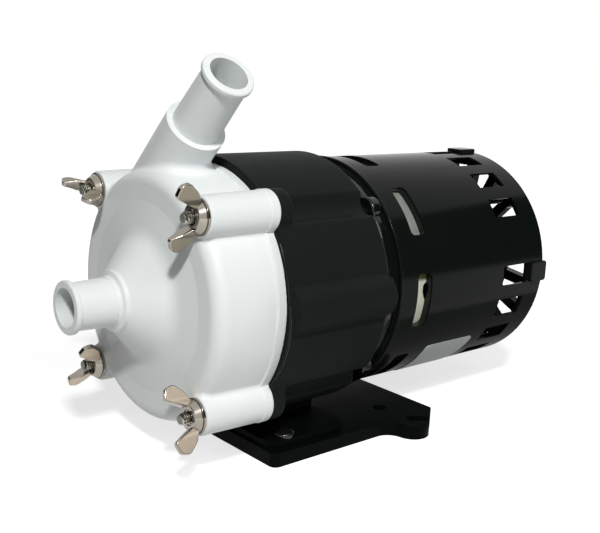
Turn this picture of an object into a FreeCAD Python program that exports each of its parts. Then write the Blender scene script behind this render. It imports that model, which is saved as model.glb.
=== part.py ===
import FreeCAD, Part
import math
import os

V = FreeCAD.Vector

# Magnetic drive pump with an open-frame motor, in millimetres.
# Every piece is drawn about the pump axis: x runs along the axis from the joint plane
# between the pale volute and the dark bracket, towards the motor; z is up.
# The save function then moves it to the part's origin, on the underside of the base.

# Place of the pump axis and of the joint plane in the finished part
AXIS_HEIGHT = 70.5
JOINT_X = -53.0

# Volute casing
FLANGE_R = 55.8
FLANGE_T = 4.4
FACE_X = -33.0
DRUM_FRONT_R = 54.1
DRUM_BACK_R = 55.3
SHOULDER = 6.0
FLARE_R = 27.0
FLARE_FOOT_R = 41.0
FLARE_STEP = 1.9
FLARE_BEND = 12.0
COLLAR_X = -47.2
COLLAR_R = 13.3
COLLAR_T = 2.4
LIP_X = -69.4
LIP_R = 11.2
LIP_T = 2.2
TUBE_R = 10.6
TUBE_TAPER = 0.7
BORE_R = 8.2
CHAMBER_R = 45.0
CHAMBER_FRONT_X = -28.6
EYE_R = 23.0
EYE_BEND = 6.0
SPIDER_HUB_R = 7.2
SPIDER_RIB_T = 3.0
SPIDER_DEPTH = 5.9
CHANNEL_X0 = -26.0
CHANNEL_X1 = -9.0
CHANNEL_START_R = 44.0
CHANNEL_END_R = 51.0
CAN_FLANGE_R = 52.3
CAN_FLANGE_T = 4.0
SEAL_R = 1.2
SEAL_RING_R = 48.5
SEAL_X = -CAN_FLANGE_T - SEAL_R

# Clamping bosses, studs and wing nuts
BOLT_OFFSET = 40.5
BOSS_R = 9.2
BOSS_FRONT_R = 8.4
BOSS_WEB = 10.0
BOSS_FILLET = 2.0
SPARE = 3.0
NEAR = 0.2
STUD_R = 2.5
STUD_TIP_X = -41.0
WASHER_R = 7.5
WASHER_T = 0.9
NUT_BODY_R = 7.0
NUT_BODY_H = 3.0
NUT_FRONT_R = 5.4
NUT_MOUTH_R = 3.3
NUT_TIP_H = 11.8
NUT_HALF_SPAN = 14.3
WING_T = 2.4
WING_ROOT_R = 2.0
FIT = 0.05

# Discharge neck and spigot, up the diagonal and tangent to the chamber
DISCHARGE_X = -15.4
DISCHARGE_OFFSET = 44.0
DISCHARGE_TURN = 45.3
NECK_R = 13.2
NECK_FILLET = 3.0
NECK_END = 59.1
OUTLET_LIP = 90.0
THROAT_END = 28.5
THROAT_HALF_W = 8.1
THROAT_HALF_H = 8.1
THROAT_ROUND = 4.0

# Containment can, spindle and impeller
CAN_R = 37.5
CAN_WALL = 2.3
CAN_END_X = 40.0
CAN_POST_R = 9.5
SPINDLE_R = 5.0
WASHER_X = 1.9
THRUST_T = 1.5
IMPELLER_R = 41.0
IMPELLER_FRONT_X = -27.6
IMPELLER_BACK_X = -9.0
IMPELLER_EYE_R = 15.5
SHROUD_T = 2.0
BACK_T = 3.0
VANE_BEND = 30.0
VANE_T = 2.4
INNER_MAGNET_R = 22.0
CAPSULE_WALL = 1.5
CAPSULE_END_T = 4.0
CAPSULE_R = 34.2
CAPSULE_END_X = 30.4
BUSH_R = 9.0
VANES = 6

# Drive magnet assembly
DRIVE_R = 46.5
DRIVE_MAGNET_R = 43.5
DRIVE_MAGNET_IN_R = 38.4
DRIVE_MAGNET_SPAN = 39.0
DRIVE_WEB_T = 4.0
DRIVE_FRONT_X = 4.0
DRIVE_WEB_X = 42.0
DRIVE_BOSS_R = 12.0
DRIVE_BOSS_END_X = 56.5
SET_SCREW_R = 2.0
SET_SCREW_BACK = 5.0

# Motor bracket
BRACKET_R = 59.3
BRACKET_BORE_R = 49.0
BRACKET_END_X = 56.0
BRACKET_WALL_X = 49.0
BRACKET_OPEN_R = 20.0
BRACKET_ROUND = 3.0
BRACKET_SCREW_CIRCLE_R = 36.0
BRACKET_SCREW_R = 2.2
GROOVE_R = 7.3
GROOVE_LIFT = 3.3
GROOVE_FILLET = 2.0
GROOVE_TURNS = (-43.3, -136.7, 139.0, 41.0)
RIB_R = 65.2
RIB_BEND_R = 10.0
RIB_Z = 2.0
NECK_HALF_W = 17.0
LOBE_T = 7.5
LOBE_ROUND = 2.5
LOBE_FILLET = 2.0
FOOT_T = 3.0
FOOT_X0 = 4.5
FOOT_X1 = 50.0
FOOT_HALF_W = 43.5
FOOT_ROUND = 8.0

# Motor
SHELL_R = 56.0
SHELL_T = 1.2
SHELL_FRONT_X = 65.5
SHELL_END_X = 171.0
SHELL_BEAD = 0.7
SHELL_BEAD_W = 1.8
SHELL_SLOT_X = 82.1
SHELL_SLOT_W = 9.6
SHELL_SLOT_L = 25.6
SHELL_SLOT_ROUND = 2.2
SHELL_SLOTS = 8
SHELL_SLOT_TURN = 5.0
WINDOW_X0 = 140.0
WINDOW_X1 = 159.3
WINDOW_SPAN = 10.3
SHAFT_R = 6.0
STATOR_X0 = 96.0
STATOR_X1 = 136.0
STATOR_BORE_R = 27.0
ROTOR_R = 26.6
STATOR_TEETH = 16
WINDING_R = 46.8
WINDING_IN_R = 31.0
WINDING_FRONT_L = 17.0
WINDING_REAR_L = 12.0
CAST_RING_R = 25.5
CAST_RING_IN_R = 17.0
FAN_BLADES = 9
BEARING_R = 11.0
BEARING_END_X = 76.0
REAR_BEARING_L = 15.0
REAR_BOSS_R = 16.0
BELL_T = 4.0
BELL_HUB_R = 14.0
BELL_PAD_R = 45.0
BELL_PAD_T = 3.0
BELL_EAR_R = 6.6
BELL_EAR_CIRCLE_R = 50.6
SKIRT_R = 52.0
SKIRT_END_X = 95.0
SLEEVE_R = 51.9
SLEEVE_T = 0.5
TIE_CIRCLE_R = 49.1
TIE_R = 2.0
TIE_HEAD_R = 3.6
TIE_TURNS = (45, 135, 225, 315)
REAR_ARM_R0 = 34.0
REAR_ARM_R1 = 49.5
REAR_ARM_W = 5.2
VENTS = 20
BLIND_VENTS = (4, 14)
TAB_HALF_W = 5.2
TAB_ROUND = 1.6
TAB_T = 1.8
TAB_REACH = 10.3
TAB_BACK = 2.2
LEAD_TURN = -162.0
LEAD_X = 151.0
GROMMET_R = 4.6

# Base plate
BASE_LENGTH = 100.0
BASE_WIDTH = 95.0
BASE_T = 6.5
HOLE_X = 28.0
HOLE_Y = 32.5
HOLE_R = 3.5
SCREW_X = -37.7
SCREW_Y = 38.8
SCREW_R = 2.2
EAR_X = 29.3
EAR_Y = 53.2
EAR_R = 8.5
SLOT_W = 6.4
SLOT_TURN = -38.0

PARTS = {}


def corner_path(points):
    """Closed wire through (a, b, radius) corners in the XY plane, rounded by tangent arcs."""
    pts = [V(p[0], p[1], 0) for p in points]
    radii = [p[2] if len(p) > 2 else 0.0 for p in points]
    count = len(pts)
    starts = []
    ends = []
    arcs = []
    for i in range(count):
        before = (pts[i - 1] - pts[i]).normalize()
        after = (pts[(i + 1) % count] - pts[i]).normalize()
        if radii[i] <= 0:
            starts.append(pts[i])
            ends.append(pts[i])
            arcs.append(None)
            continue
        half = before.getAngle(after) / 2.0
        reach = radii[i] / math.tan(half)
        first = pts[i] + before * reach
        last = pts[i] + after * reach
        middle_way = (before + after).normalize()
        centre = pts[i] + middle_way * (radii[i] / math.sin(half))
        middle = centre - middle_way * radii[i]
        starts.append(first)
        ends.append(last)
        arcs.append(Part.Arc(first, middle, last).toShape())
    edges = []
    for i in range(count):
        if arcs[i] is not None:
            edges.append(arcs[i])
        follow = starts[(i + 1) % count]
        if (follow - ends[i]).Length > 1e-6:
            edges.append(Part.makeLine(ends[i], follow))
    return Part.Wire(edges)


def lathe(points):
    """Solid of revolution about the pump axis from (x, radius, rounding) corners."""
    face = Part.Face(corner_path(points))
    return face.revolve(V(0, 0, 0), V(1, 0, 0), 360)


def ring(x0, x1, r_in, r_out):
    """Plain tube along the pump axis."""
    outer = Part.makeCylinder(r_out, x1 - x0, V(x0, 0, 0), V(1, 0, 0))
    return outer.cut(Part.makeCylinder(r_in, x1 - x0, V(x0, 0, 0), V(1, 0, 0)))


def rod(x0, x1, radius, y=0.0, z=0.0):
    """Round bar parallel to the pump axis."""
    return Part.makeCylinder(radius, x1 - x0, V(x0, y, z), V(1, 0, 0))


def box(x0, x1, y0, y1, z0, z1):
    return Part.makeBox(x1 - x0, y1 - y0, z1 - z0, V(x0, y0, z0))


def turned(shape, degrees):
    """Copy turned about the pump axis; 0 is the near side, 90 the top."""
    copy = shape.copy()
    copy.rotate(V(0, 0, 0), V(1, 0, 0), degrees)
    return copy


def around(shape, count, start=0.0):
    """Copies of a shape evenly spaced about the pump axis."""
    return [turned(shape, start + i * 360.0 / count) for i in range(count)]


def corners():
    """The four bolt places, as (y, z) pairs."""
    return [(sy * BOLT_OFFSET, sz * BOLT_OFFSET) for sz in (1, -1) for sy in (-1, 1)]


def prism(points, direction):
    """Extruded outline of rounded corners given in the XY plane."""
    return Part.Face(corner_path(points)).extrude(direction)


def along_x(shape, x0):
    """Lays an XY outline solid so that its height runs along x: (a, b, h) becomes (h, a, b)."""
    copy = shape.copy()
    copy.rotate(V(0, 0, 0), V(1, 1, 1), 120)
    copy.translate(V(x0, 0, 0))
    return copy


def save(name, shape):
    """Moves a piece to the part's origin and keeps it under its name."""
    placed = shape.copy()
    placed.translate(V(JOINT_X, 0, AXIS_HEIGHT))
    PARTS[name] = placed


def on_discharge(shape):
    """Moves a piece drawn up the z axis to the discharge, so that z runs out along it."""
    placed = shape.copy()
    placed.translate(V(DISCHARGE_X, DISCHARGE_OFFSET, 0))
    return turned(placed, DISCHARGE_TURN)


def off_discharge(point):
    """Distance of a point from the line of the discharge."""
    foot = V(DISCHARGE_X, DISCHARGE_OFFSET, 0)
    way = V(0, 0, 1)
    unturned = FreeCAD.Rotation(V(1, 0, 0), -DISCHARGE_TURN).multVec(point) - foot
    return (unturned - way * (unturned * way)).Length


def middle(edge):
    return edge.valueAt((edge.FirstParameter + edge.LastParameter) / 2)


def meeting_edges(shape, test):
    """Curved edges where two round bodies meet, chosen by a test on their middle points."""
    return [e for e in shape.Edges if type(e.Curve).__name__ == "BSplineCurve" and test(middle(e))]


def hose_spigot(length):
    """Hose spigot along -x from x = 0: a tapering tube with a bead at its mouth."""
    return lathe([
        (0, 0),
        (0, TUBE_R),
        (-length + LIP_T + 0.6, TUBE_R - TUBE_TAPER, 0.4),
        (-length + LIP_T, LIP_R, 0.5),
        (-length, LIP_R, 0.9),
        (-length, 0),
    ])


def clamping_boss(y, z):
    """One boss beside the drum, tapered towards its front, with the web that ties it to the face."""
    boss = lathe([
        (SPARE, 0),
        (SPARE, BOSS_R - 0.2),
        (FACE_X, BOSS_FRONT_R, 0.9),
        (FACE_X, 0),
    ])
    boss.translate(V(0, y, z))
    web = box(FACE_X + 3, SPARE, -BOSS_WEB / 2, BOSS_WEB / 2, 0, BOSS_WEB)
    web.rotate(V(0, 0, 0), V(1, 0, 0), math.degrees(math.atan2(z, y)) + 90)
    web.translate(V(0, y, z))
    return boss.fuse(web)


def moulded_drum():
    """Drum, discharge neck and bosses, blended into each other as in a moulding."""
    drum = lathe([
        (SPARE, 0),
        (SPARE, DRUM_BACK_R),
        (FACE_X, DRUM_FRONT_R, SHOULDER),
        (FACE_X, 0),
    ])
    neck = on_discharge(Part.makeCylinder(NECK_R, NECK_END))
    body = drum.fuse(neck).removeSplitter()
    neck_foot = meeting_edges(body, lambda p: abs(off_discharge(p) - NECK_R) < NEAR)
    body = body.makeFillet(NECK_FILLET, neck_foot)
    body = body.fuse([clamping_boss(y, z) for y, z in corners()]).removeSplitter()
    clear = NECK_R + NECK_FILLET + 1
    boss_sides = meeting_edges(body, lambda p: off_discharge(p) > clear and p.x > FACE_X + 0.5)
    body = body.makeFillet(BOSS_FILLET, [e for e in boss_sides if e.Length > SPARE])
    return body.cut(rod(0, SPARE + 1, BRACKET_R + BOSS_R * 2))


def inlet_bell():
    """Bell-shaped flare from the face to the collar, and the inlet spigot."""
    bell = lathe([
        (FACE_X + 2, 0),
        (FACE_X + 2, FLARE_FOOT_R),
        (FACE_X, FLARE_FOOT_R),
        (FACE_X - FLARE_STEP, FLARE_R, FLARE_BEND),
        (COLLAR_X, COLLAR_R, 0.5),
        (COLLAR_X - COLLAR_T + 0.8, COLLAR_R - 0.4, 0.6),
        (COLLAR_X - COLLAR_T, TUBE_R, 1.2),
        (COLLAR_X - COLLAR_T - 2, TUBE_R),
        (COLLAR_X - COLLAR_T - 2, 0),
    ])
    spigot = hose_spigot(COLLAR_X - LIP_X)
    spigot.translate(V(COLLAR_X, 0, 0))
    return bell.fuse(spigot)


def casing_flange():
    """Raised rim at the joint plane, round the drum and round each boss."""
    rim = rounded_rod(-FLANGE_T, 0, FLANGE_R, 0.5)
    pads = []
    for y, z in corners():
        pad = rounded_rod(-FLANGE_T, 0, BOSS_R, 0.5)
        pad.translate(V(0, y, z))
        pads.append(pad)
    return rim.fuse(pads)


def volute_hollow():
    """Inner form of the casing: seat of the can, chamber, eye and inlet bore."""
    seat_r = CAN_FLANGE_R + 0.1
    return lathe([
        (1, 0),
        (1, seat_r),
        (-CAN_FLANGE_T, seat_r),
        (-CAN_FLANGE_T, CHAMBER_R),
        (CHAMBER_FRONT_X, CHAMBER_R, 3.0),
        (CHAMBER_FRONT_X - 1.2, EYE_R, 5.0),
        (COLLAR_X + 4.2, BORE_R, EYE_BEND),
        (LIP_X - 1, BORE_R),
        (LIP_X - 1, 0),
    ])


def spiral_channel():
    """Channel round the impeller that widens turn-wise up to the throat of the discharge."""
    count = 8
    start = math.radians(DISCHARGE_TURN)

    def spiral_point(share):
        radius = CHANNEL_START_R + (CHANNEL_END_R - CHANNEL_START_R) * share
        angle = start + 2 * math.pi * share
        return V(0, radius * math.cos(angle), radius * math.sin(angle))

    edges = []
    for i in range(count):
        ends = [spiral_point((i + part) / count) for part in (0, 0.5, 1)]
        edges.append(Part.Arc(*ends).toShape())
    edges.append(Part.makeLine(spiral_point(1), spiral_point(0)))
    channel = Part.Face(Part.Wire(edges)).extrude(V(CHANNEL_X1 - CHANNEL_X0, 0, 0))
    channel.translate(V(CHANNEL_X0, 0, 0))
    return channel


def throat():
    """Way from the channel into the discharge bore, with rounded corners."""
    half_w = THROAT_HALF_W
    half_h = THROAT_HALF_H
    return on_discharge(prism([
        (-half_w, -half_h, THROAT_ROUND),
        (half_w, -half_h, THROAT_ROUND),
        (half_w, half_h, THROAT_ROUND),
        (-half_w, half_h, THROAT_ROUND),
    ], V(0, 0, THROAT_END + FIT)))


def spindle_spider():
    """Three ribs across the inlet with the socket that holds the spindle's front end."""
    hub = lathe([
        (CHAMBER_FRONT_X - WASHER_X, 0),
        (CHAMBER_FRONT_X - WASHER_X, SPIDER_HUB_R),
        (CHAMBER_FRONT_X - SPIDER_DEPTH - 0.6, SPIDER_HUB_R, 2.0),
        (CHAMBER_FRONT_X - SPIDER_DEPTH - 3.6, 0),
    ])
    half = SPIDER_RIB_T / 2
    rib = box(CHAMBER_FRONT_X - SPIDER_DEPTH, CHAMBER_FRONT_X - 2.5, -half, half, SPINDLE_R, EYE_R + 1)
    spider = hub.fuse(around(rib, 3, 30))
    return spider.cut(rod(CHAMBER_FRONT_X - SPIDER_DEPTH, CHAMBER_FRONT_X, SPINDLE_R))


def volute_casing():
    """Pale casing with inlet and discharge spigots and four clamping bosses."""
    spigot = hose_spigot(OUTLET_LIP - NECK_END + 1)
    spigot.rotate(V(0, 0, 0), V(0, 1, 0), 90)
    spigot.translate(V(0, 0, NECK_END - 1))
    outer = moulded_drum().fuse([inlet_bell(), casing_flange(), on_discharge(spigot)])
    bore = on_discharge(Part.makeCylinder(BORE_R, OUTLET_LIP + 1 - THROAT_END, V(0, 0, THROAT_END)))
    seal_groove = ring(
        SEAL_X - SEAL_R - 0.1, -CAN_FLANGE_T + 0.1,
        SEAL_RING_R - SEAL_R - 0.2, SEAL_RING_R + SEAL_R + 0.2)
    body = outer.cut([volute_hollow(), spiral_channel(), throat(), bore, seal_groove])
    body = body.fuse(spindle_spider().common(outer))
    stud_holes = [rod(FACE_X - 1, 1, STUD_R + 0.3, y, z) for y, z in corners()]
    return body.cut(stud_holes).removeSplitter()


def rear_housing():
    """Containment can: flange, thin cup over the inner magnet, spindle post."""
    wall_r = CAN_R - CAN_WALL
    floor_x = CAN_END_X - CAN_WALL
    post_x = CAPSULE_END_X + WASHER_X
    cup = lathe([
        (-CAN_FLANGE_T, 0),
        (-CAN_FLANGE_T, CAN_FLANGE_R),
        (0, CAN_FLANGE_R),
        (0, CAN_R, 1.0),
        (CAN_END_X, CAN_R, 3.0),
        (CAN_END_X, 0),
    ])
    hollow = lathe([
        (-CAN_FLANGE_T - 1, 0),
        (-CAN_FLANGE_T - 1, wall_r),
        (floor_x, wall_r, 2.0),
        (floor_x, CAN_POST_R, 1.0),
        (post_x, CAN_POST_R, 0.5),
        (post_x, 0),
    ])
    socket = rod(CAPSULE_END_X, floor_x, SPINDLE_R)
    return cup.cut([hollow, socket])


def casing_o_ring():
    """Seal ring squeezed between the casing and the flange of the can."""
    face = Part.Face(Part.Wire(Part.makeCircle(SEAL_R, V(SEAL_X, SEAL_RING_R, 0), V(0, 0, 1))))
    return face.revolve(V(0, 0, 0), V(1, 0, 0), 360)


def impeller_vane():
    """One backward-curved vane between the shrouds."""
    x0 = IMPELLER_FRONT_X + SHROUD_T - 0.5
    x1 = IMPELLER_BACK_X - BACK_T + 0.5
    wall = ring(x0, x1, VANE_BEND - VANE_T / 2, VANE_BEND + VANE_T / 2)
    wall.translate(V(0, 26, 12))
    limit = ring(x0, x1, IMPELLER_EYE_R - 0.5, IMPELLER_R - 0.5)
    upper_half = box(x0, x1, -60, 60, 0, 60)
    return wall.common(limit).common(upper_half)


def magnet_room():
    """Room of the inner magnet ring inside the impeller's capsule."""
    return ring(
        IMPELLER_BACK_X + CAPSULE_END_T, CAPSULE_END_X - CAPSULE_END_T,
        INNER_MAGNET_R, CAPSULE_R - CAPSULE_WALL)


def impeller():
    """Closed impeller with the capsule that carries the inner magnet."""
    back_x = IMPELLER_BACK_X - BACK_T
    front = ring(IMPELLER_FRONT_X, IMPELLER_FRONT_X + SHROUD_T, IMPELLER_EYE_R, IMPELLER_R)
    back = ring(back_x, IMPELLER_BACK_X, BUSH_R, IMPELLER_R)
    nose = lathe([
        (IMPELLER_FRONT_X, BUSH_R),
        (IMPELLER_FRONT_X, BUSH_R + 1.6, 0.8),
        (back_x - 3, BUSH_R + 3.5, 6.0),
        (back_x + 0.5, BUSH_R * 2),
        (back_x + 0.5, BUSH_R),
    ])
    capsule = ring(IMPELLER_BACK_X, CAPSULE_END_X - 0.6, BUSH_R, CAPSULE_R)
    body = front.fuse([back, nose, capsule] + around(impeller_vane(), VANES))
    return body.cut(magnet_room()).removeSplitter()


def drive_magnet_hub():
    """Steel cup on the motor shaft that carries the outer magnets around the can."""
    cup = lathe([
        (DRIVE_FRONT_X, DRIVE_MAGNET_R),
        (DRIVE_FRONT_X, DRIVE_R, 0.8),
        (DRIVE_WEB_X + DRIVE_WEB_T, DRIVE_R, 2.0),
        (DRIVE_WEB_X + DRIVE_WEB_T, DRIVE_BOSS_R, 2.0),
        (DRIVE_BOSS_END_X, DRIVE_BOSS_R, 1.0),
        (DRIVE_BOSS_END_X, SHAFT_R),
        (DRIVE_WEB_X, SHAFT_R),
        (DRIVE_WEB_X, DRIVE_MAGNET_R, 1.5),
    ])
    screw_x = DRIVE_BOSS_END_X - SET_SCREW_BACK
    return cup.cut(Part.makeCylinder(SET_SCREW_R, DRIVE_BOSS_R + 1, V(screw_x, 0, 0), V(0, 0, 1)))


def drive_magnets():
    """Eight arc magnets inside the cup."""
    x0 = DRIVE_FRONT_X + 2
    x1 = DRIVE_WEB_X - 6
    whole = ring(x0, x1, DRIVE_MAGNET_IN_R, DRIVE_MAGNET_R)
    half = math.radians(DRIVE_MAGNET_SPAN / 2)
    reach = 60.0
    wedge = prism([
        (0, 0),
        (-reach * math.sin(half), reach * math.cos(half)),
        (reach * math.sin(half), reach * math.cos(half)),
    ], V(0, 0, x1))
    piece = whole.common(along_x(wedge, 0))
    return Part.makeCompound(around(piece, 8, 22.5))


def rounded_rod(x0, x1, radius, rounding):
    """Round bar along the pump axis with rounded rims."""
    return lathe([(x0, 0), (x0, radius, rounding), (x1, radius, rounding), (x1, 0)])


def lobed_front():
    """Front of the bracket's drum with the four lobes behind the bosses, blended into it."""
    end_x = LOBE_T + 2 * SPARE
    front = rod(-SPARE, end_x, BRACKET_R)
    for y, z in corners():
        lobe = lathe([
            (-SPARE, 0),
            (-SPARE, BOSS_R),
            (LOBE_T, BOSS_R, LOBE_ROUND),
            (LOBE_T, 0),
        ])
        lobe.translate(V(0, y, z))
        front = front.fuse(lobe)
    front = front.removeSplitter()

    def on_drum(edge):
        point = middle(edge)
        return abs(math.hypot(point.y, point.z) - BRACKET_R) < NEAR and -SPARE + NEAR < point.x < end_x - NEAR

    front = front.makeFillet(LOBE_FILLET, [e for e in front.Edges if on_drum(e)])
    return front.common(rod(0, LOBE_T, BRACKET_R + 2 * BOSS_R))


def bracket_drum():
    """Round drum with two broad side ribs and four soft screw grooves."""
    drum = rod(0, BRACKET_END_X, BRACKET_R)
    rib = rod(0, BRACKET_END_X, RIB_BEND_R, -(RIB_R - RIB_BEND_R), RIB_Z)
    body = drum.fuse([rib, rib.mirror(V(0, 0, 0), V(0, 1, 0))])
    for turn in GROOVE_TURNS:
        groove = rod(-1, BRACKET_END_X + 1, GROOVE_R, -(BRACKET_R + GROOVE_LIFT), 0)
        body = body.cut(turned(groove, turn))
    body = body.removeSplitter()
    lengthwise = [e for e in body.Edges if abs(e.Length - BRACKET_END_X) < FIT]
    body = body.makeFillet(GROOVE_FILLET, lengthwise)
    rear_rim = [e for e in body.Edges if min(v.X for v in e.Vertexes) > BRACKET_END_X - FIT]
    return body.makeFillet(BRACKET_ROUND, rear_rim)


def bracket_foot():
    """Neck under the drum and the foot that is screwed to the base."""
    foot_bottom = BASE_T - AXIS_HEIGHT
    neck = box(FOOT_X0 + 1.5, FOOT_X1, -NECK_HALF_W, NECK_HALF_W, foot_bottom + 1, -BRACKET_WALL_X - 1)
    foot = prism([
        (FOOT_X0, -FOOT_HALF_W, FOOT_ROUND),
        (FOOT_X1, -FOOT_HALF_W, FOOT_ROUND),
        (FOOT_X1, FOOT_HALF_W, FOOT_ROUND),
        (FOOT_X0, FOOT_HALF_W, FOOT_ROUND),
    ], V(0, 0, FOOT_T))
    foot.translate(V(0, 0, foot_bottom))
    for side in (-1, 1):
        place = V(SCREW_X - JOINT_X, side * SCREW_Y, foot_bottom - 1)
        foot = foot.cut(Part.makeCylinder(SCREW_R + 0.2, FOOT_T + 2, place))
    return neck.fuse(foot)


def motor_bracket():
    """Dark drum between pump and motor, with clamping lobes and its foot."""
    body = bracket_drum().fuse([lobed_front(), bracket_foot()])
    cutters = [
        rod(-1, BRACKET_WALL_X, BRACKET_BORE_R),
        rod(BRACKET_WALL_X - 1, BRACKET_END_X + 1, BRACKET_OPEN_R),
    ]
    cutters += [rod(-1, LOBE_T - 1.0, STUD_R, y, z) for y, z in corners()]
    screw_hole = rod(BRACKET_WALL_X - 1, BRACKET_END_X + 1, BRACKET_SCREW_R + 0.1, -BRACKET_SCREW_CIRCLE_R, 0)
    cutters += [turned(screw_hole, turn) for turn in TIE_TURNS]
    return body.cut(cutters).removeSplitter()


def pan_screw(radius, length, head_r, head_h):
    """Pan-head screw along x with its shank pointing to +x and the head's seat at x = 0."""
    head = lathe([
        (0, 0),
        (0, head_r),
        (-head_h * 0.55, head_r, head_h * 0.35),
        (-head_h, head_r * 0.45, head_r * 0.3),
        (-head_h, 0),
    ])
    return head.fuse(rod(0, length, radius))


def bracket_screws():
    """Four screws that hold the bracket on the motor's front end bell."""
    screw = pan_screw(BRACKET_SCREW_R, 14.0, 4.5, 3.0)
    screw.translate(V(BRACKET_WALL_X, -BRACKET_SCREW_CIRCLE_R, 0))
    return Part.makeCompound([turned(screw, turn) for turn in TIE_TURNS])


def base_plate():
    """Base plate with rear ears whose slots open on their slanted edges."""
    half_l = BASE_LENGTH / 2
    half_w = BASE_WIDTH / 2
    plate = prism([
        (-half_l, -half_w, 3.5),
        (half_l, -half_w, 3.5),
        (half_l, half_w, 3.5),
        (-half_l, half_w, 3.5),
    ], V(0, 0, BASE_T))
    for side in (-1, 1):
        plate = plate.fuse(base_ear(side))
    plate = plate.removeSplitter()
    for side in (-1, 1):
        plate = plate.cut(Part.makeCylinder(HOLE_R, BASE_T, V(HOLE_X, side * HOLE_Y, 0)))
        plate = plate.cut(Part.makeCylinder(SCREW_R, BASE_T, V(SCREW_X, side * SCREW_Y, 0)))
        plate = plate.cut(base_slot(side))
    plate.translate(V(-JOINT_X, 0, -AXIS_HEIGHT))
    return plate


def base_ear(side):
    """Rounded ear at a rear corner, blended into the plate's side."""
    half_w = BASE_WIDTH / 2
    blend = 8.0
    rise = math.sqrt((EAR_R + blend) ** 2 - (half_w + blend - EAR_Y) ** 2)
    blend_x = EAR_X - rise
    share = blend / (EAR_R + blend)
    touch = V(blend_x + rise * share, -(half_w + blend) + (half_w + blend - EAR_Y) * share, 0)
    slant = math.radians(50)
    edge = V(EAR_X + EAR_R * math.sin(math.radians(40)), -EAR_Y - EAR_R * math.cos(math.radians(40)), 0)
    corner = V(BASE_LENGTH / 2, edge.y + (BASE_LENGTH / 2 - edge.x) / math.tan(slant), 0)
    bow = math.radians(250)
    bottom = V(EAR_X + EAR_R * math.cos(bow), -EAR_Y + EAR_R * math.sin(bow), 0)
    dip = math.radians(60)
    valley = V(blend_x + blend * math.cos(dip), -(half_w + blend) + blend * math.sin(dip), 0)
    start = V(blend_x, -half_w, 0)
    inner = V(blend_x, -half_w + 6, 0)
    back = V(BASE_LENGTH / 2, -half_w + 6, 0)
    wire = Part.Wire([
        Part.Arc(start, valley, touch).toShape(),
        Part.Arc(touch, bottom, edge).toShape(),
        Part.makeLine(edge, corner),
        Part.makeLine(corner, back),
        Part.makeLine(back, inner),
        Part.makeLine(inner, start),
    ])
    ear = Part.Face(wire).extrude(V(0, 0, BASE_T))
    if side > 0:
        ear = ear.mirror(V(0, 0, 0), V(0, 1, 0))
    return ear


def base_slot(side):
    """Slot cutter from the middle of an ear out through its slanted edge."""
    centre = V(EAR_X + 1.7, -EAR_Y + 1.7, 0)
    run = box(0, 20, -SLOT_W / 2, SLOT_W / 2, 0, BASE_T)
    slot = run.fuse(Part.makeCylinder(SLOT_W / 2, BASE_T))
    slot.rotate(V(0, 0, 0), V(0, 0, 1), SLOT_TURN)
    slot.translate(centre)
    if side > 0:
        slot = slot.mirror(V(0, 0, 0), V(0, 1, 0))
    return slot


def base_screws():
    """Two pan-head screws through the bracket's foot into the base plate."""
    screws = []
    for side in (-1, 1):
        screw = pan_screw(SCREW_R, FOOT_T + BASE_T - 0.5, 4.4, 3.2)
        screw.rotate(V(0, 0, 0), V(0, 1, 0), 90)
        screw.translate(V(SCREW_X - JOINT_X, side * SCREW_Y, BASE_T + FOOT_T - AXIS_HEIGHT))
        screws.append(screw)
    return Part.makeCompound(screws)


def casing_studs():
    """Four studs from the bracket's lobes through the casing's bosses."""
    studs = []
    for y, z in corners():
        stud = rounded_rod(STUD_TIP_X, LOBE_T - 1.0, STUD_R, 0.4)
        stud.translate(V(0, y, z))
        studs.append(stud)
    return Part.makeCompound(studs)


def wing():
    """One wing of the nut: a flared plate leaning outwards and forwards, in the x-y plane."""
    outline = prism([
        (-0.3, WING_ROOT_R),
        (-NUT_BODY_H + 0.4, WING_ROOT_R),
        (-NUT_BODY_H, NUT_FRONT_R - 1.2),
        (-NUT_TIP_H, NUT_HALF_SPAN - 5.8, 1.6),
        (-NUT_TIP_H + 1.6, NUT_HALF_SPAN - 0.8, 2.4),
        (-NUT_TIP_H + 5.6, NUT_HALF_SPAN, 2.4),
        (-1.6, NUT_HALF_SPAN - 4.2, 5.0),
        (-0.3, NUT_BODY_R - 0.8),
    ], V(0, 0, WING_T))
    outline.translate(V(0, 0, -WING_T / 2))
    return outline


def wing_nut(y, z, turn):
    """Forged wing nut seated on its washer, wings standing at the given turn."""
    seat = FACE_X - WASHER_T
    body = lathe([
        (0, 0),
        (0, NUT_BODY_R),
        (-0.6, NUT_BODY_R, 0.25),
        (-NUT_BODY_H, NUT_FRONT_R, 0.8),
        (-NUT_BODY_H, 0),
    ])
    mouth_depth = NUT_MOUTH_R - STUD_R
    mouth = lathe([
        (-NUT_BODY_H + mouth_depth, 0),
        (-NUT_BODY_H + mouth_depth, STUD_R),
        (-NUT_BODY_H, NUT_MOUTH_R),
        (-NUT_BODY_H - 1, NUT_MOUTH_R),
        (-NUT_BODY_H - 1, 0),
    ])
    nut = body.fuse([wing(), turned(wing(), 180)])
    nut = nut.cut([mouth, rod(-NUT_TIP_H - 1, 1, STUD_R + FIT)])
    nut = turned(nut.removeSplitter(), turn)
    nut.translate(V(seat, y, z))
    return nut


def wing_washer(y, z):
    """Plain washer under a wing nut."""
    washer = ring(FACE_X - WASHER_T, FACE_X, STUD_R + FIT, WASHER_R)
    washer.translate(V(0, y, z))
    return washer


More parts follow.
